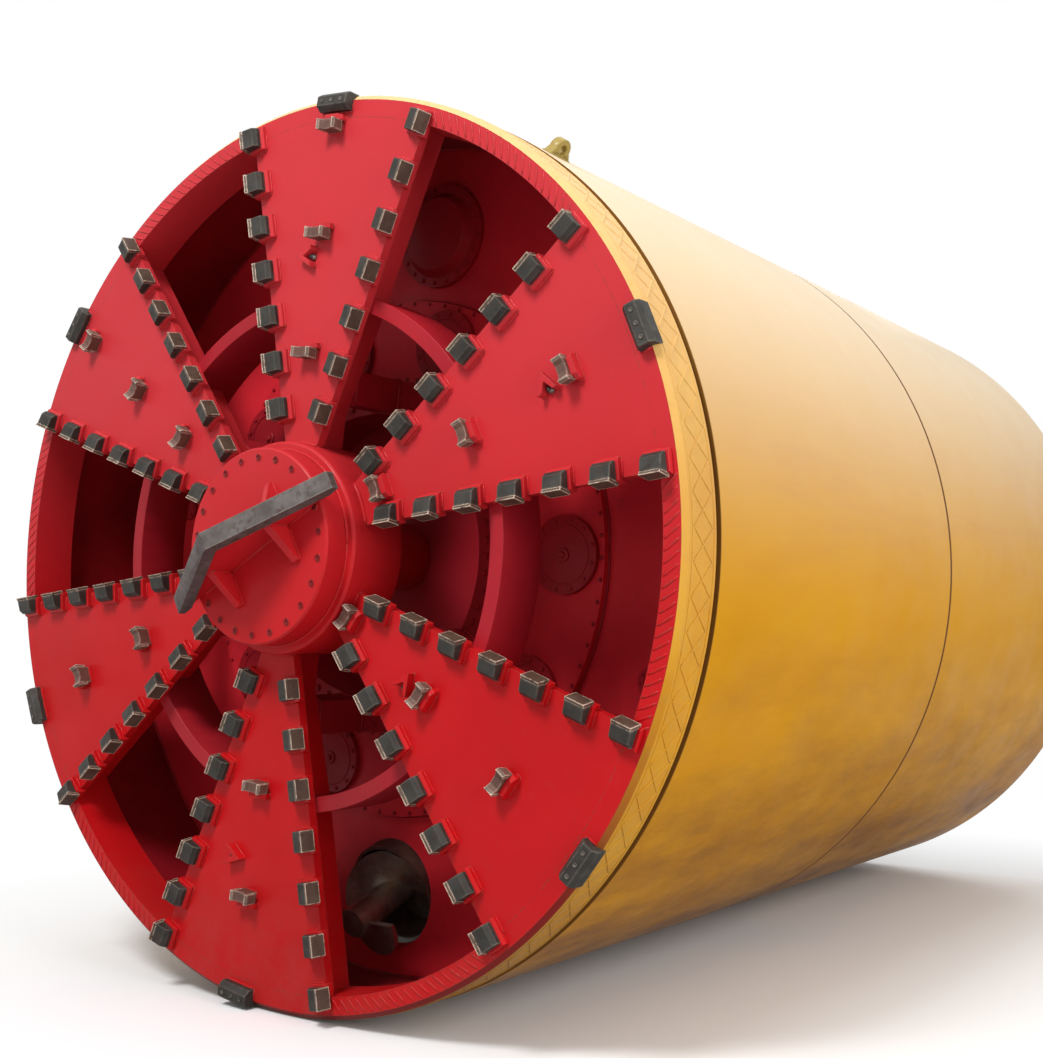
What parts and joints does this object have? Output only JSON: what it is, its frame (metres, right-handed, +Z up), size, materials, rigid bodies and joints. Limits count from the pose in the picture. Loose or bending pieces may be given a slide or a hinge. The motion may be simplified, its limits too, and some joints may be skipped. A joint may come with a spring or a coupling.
{
  "type": "tunnel boring machine cutterhead and shield",
  "caption": "Soft-ground tunnel boring machine: a spoked cutterhead with scrapers, pilot bits and a centre knife, turning on the front of a two-section round shield",
  "frame": {"origin": "middle of the machine's length and width, on the floor under the shield", "axes": "+Y runs back along the machine's axis, away from the cutterhead; +X is to the right seen from in front of the cutterhead; +Z is up"},
  "size_m": [6.3398, 9.302, 6.3398],
  "materials": {
    "paint_red": "gloss",
    "paint_yellow": "gloss",
    "chamber_red": "satin",
    "cutter_steel": "satin",
    "blade_steel": "satin",
    "bit_brown": "satin",
    "tip_steel": "satin",
    "drive_paint": "gloss",
    "motor_paint": "satin",
    "jack_paint": "satin",
    "rod_chrome": "polished",
    "shoe_pad": "satin",
    "screw_paint": "satin",
    "worn_steel": "worn",
    "seal_wire": "satin",
    "door_paint": "gloss"
  },
  "bodies": {
    "shield": {"front_shield": "paint_yellow", "tail_shield": "paint_yellow", "bulkhead": "chamber_red", "pinion_covers": "chamber_red", "hatch_cover": "chamber_red", "drive_housing": "drive_paint", "drive_motors": "motor_paint", "man_lock": "drive_paint", "jack_girders": "drive_paint", "jack_barrels": "jack_paint", "screw_casing": "screw_paint", "discharge_chute": "screw_paint", "screw_drive": "motor_paint", "erector_frame": "drive_paint", "tail_seal": "seal_wire", "lifting_lugs": "paint_yellow"},
    "cutterhead": {"rim_ring": "paint_red", "wear_band": "paint_yellow", "middle_ring": "chamber_red", "face_panels": "paint_red", "hub": "paint_red", "hub_cover": "paint_red", "centre_knife": "paint_red", "knife_edges": "cutter_steel", "edge_scrapers": "cutter_steel", "scraper_blades": "blade_steel", "cutter_holders": "paint_red", "pilot_bits": "bit_brown", "pilot_tips": "tip_steel", "gauge_cutters": "cutter_steel", "support_legs": "chamber_red", "drive_drum": "chamber_red"},
    "screw": {"screw_shaft": "worn_steel", "screw_flight": "worn_steel"},
    "gate": {"discharge_gate": "worn_steel"},
    "door": {"lock_door": "door_paint"},
    "erector": {"erector_ring": "jack_paint"},
    "lifting_head": {"erector_head": "cutter_steel"},
    "thrust_top": {"jack_rods_top": "rod_chrome", "jack_shoes_top": "shoe_pad"},
    "thrust_left": {"jack_rods_left": "rod_chrome", "jack_shoes_left": "shoe_pad"},
    "thrust_bottom": {"jack_rods_bottom": "rod_chrome", "jack_shoes_bottom": "shoe_pad"},
    "thrust_right": {"jack_rods_right": "rod_chrome", "jack_shoes_right": "shoe_pad"}
  },
  "joints": [
    {"name": "cutterhead_spin", "type": "hinge", "parent": "shield", "child": "cutterhead", "pos_m": [0, -2.619, 3.17], "axis": [0, 1, 0], "continuous": true},
    {"name": "screw_spin", "type": "hinge", "parent": "shield", "child": "screw", "pos_m": [0, -2.774, 0.6604], "axis": [0, 0.9397, 0.342], "continuous": true},
    {"name": "lock_door_hinge", "type": "hinge", "parent": "shield", "child": "door", "pos_m": [0.06275, -1.459, 5.65352], "axis": [0, 0, 1], "range_deg": [0, 95]},
    {"name": "discharge_gate_slide", "type": "slide", "parent": "shield", "child": "gate", "axis": [0, 1, 0], "range_m": [0, 0.5]},
    {"name": "erector_turn", "type": "hinge", "parent": "shield", "child": "erector", "pos_m": [0, 2.201, 3.17], "axis": [0, 1, 0], "range_deg": [-200, 200]},
    {"name": "lifting_head_slide", "type": "slide", "parent": "erector", "child": "lifting_head", "axis": [0, 0, -1], "range_m": [0, 0.4]},
    {"name": "thrust_top_slide", "type": "slide", "parent": "shield", "child": "thrust_top", "axis": [0, 1, 0], "range_m": [0, 1.8]},
    {"name": "thrust_left_slide", "type": "slide", "parent": "shield", "child": "thrust_left", "axis": [0, 1, 0], "range_m": [0, 1.8]},
    {"name": "thrust_bottom_slide", "type": "slide", "parent": "shield", "child": "thrust_bottom", "axis": [0, 1, 0], "range_m": [0, 1.8]},
    {"name": "thrust_right_slide", "type": "slide", "parent": "shield", "child": "thrust_right", "axis": [0, 1, 0], "range_m": [0, 1.8]}
  ]
}
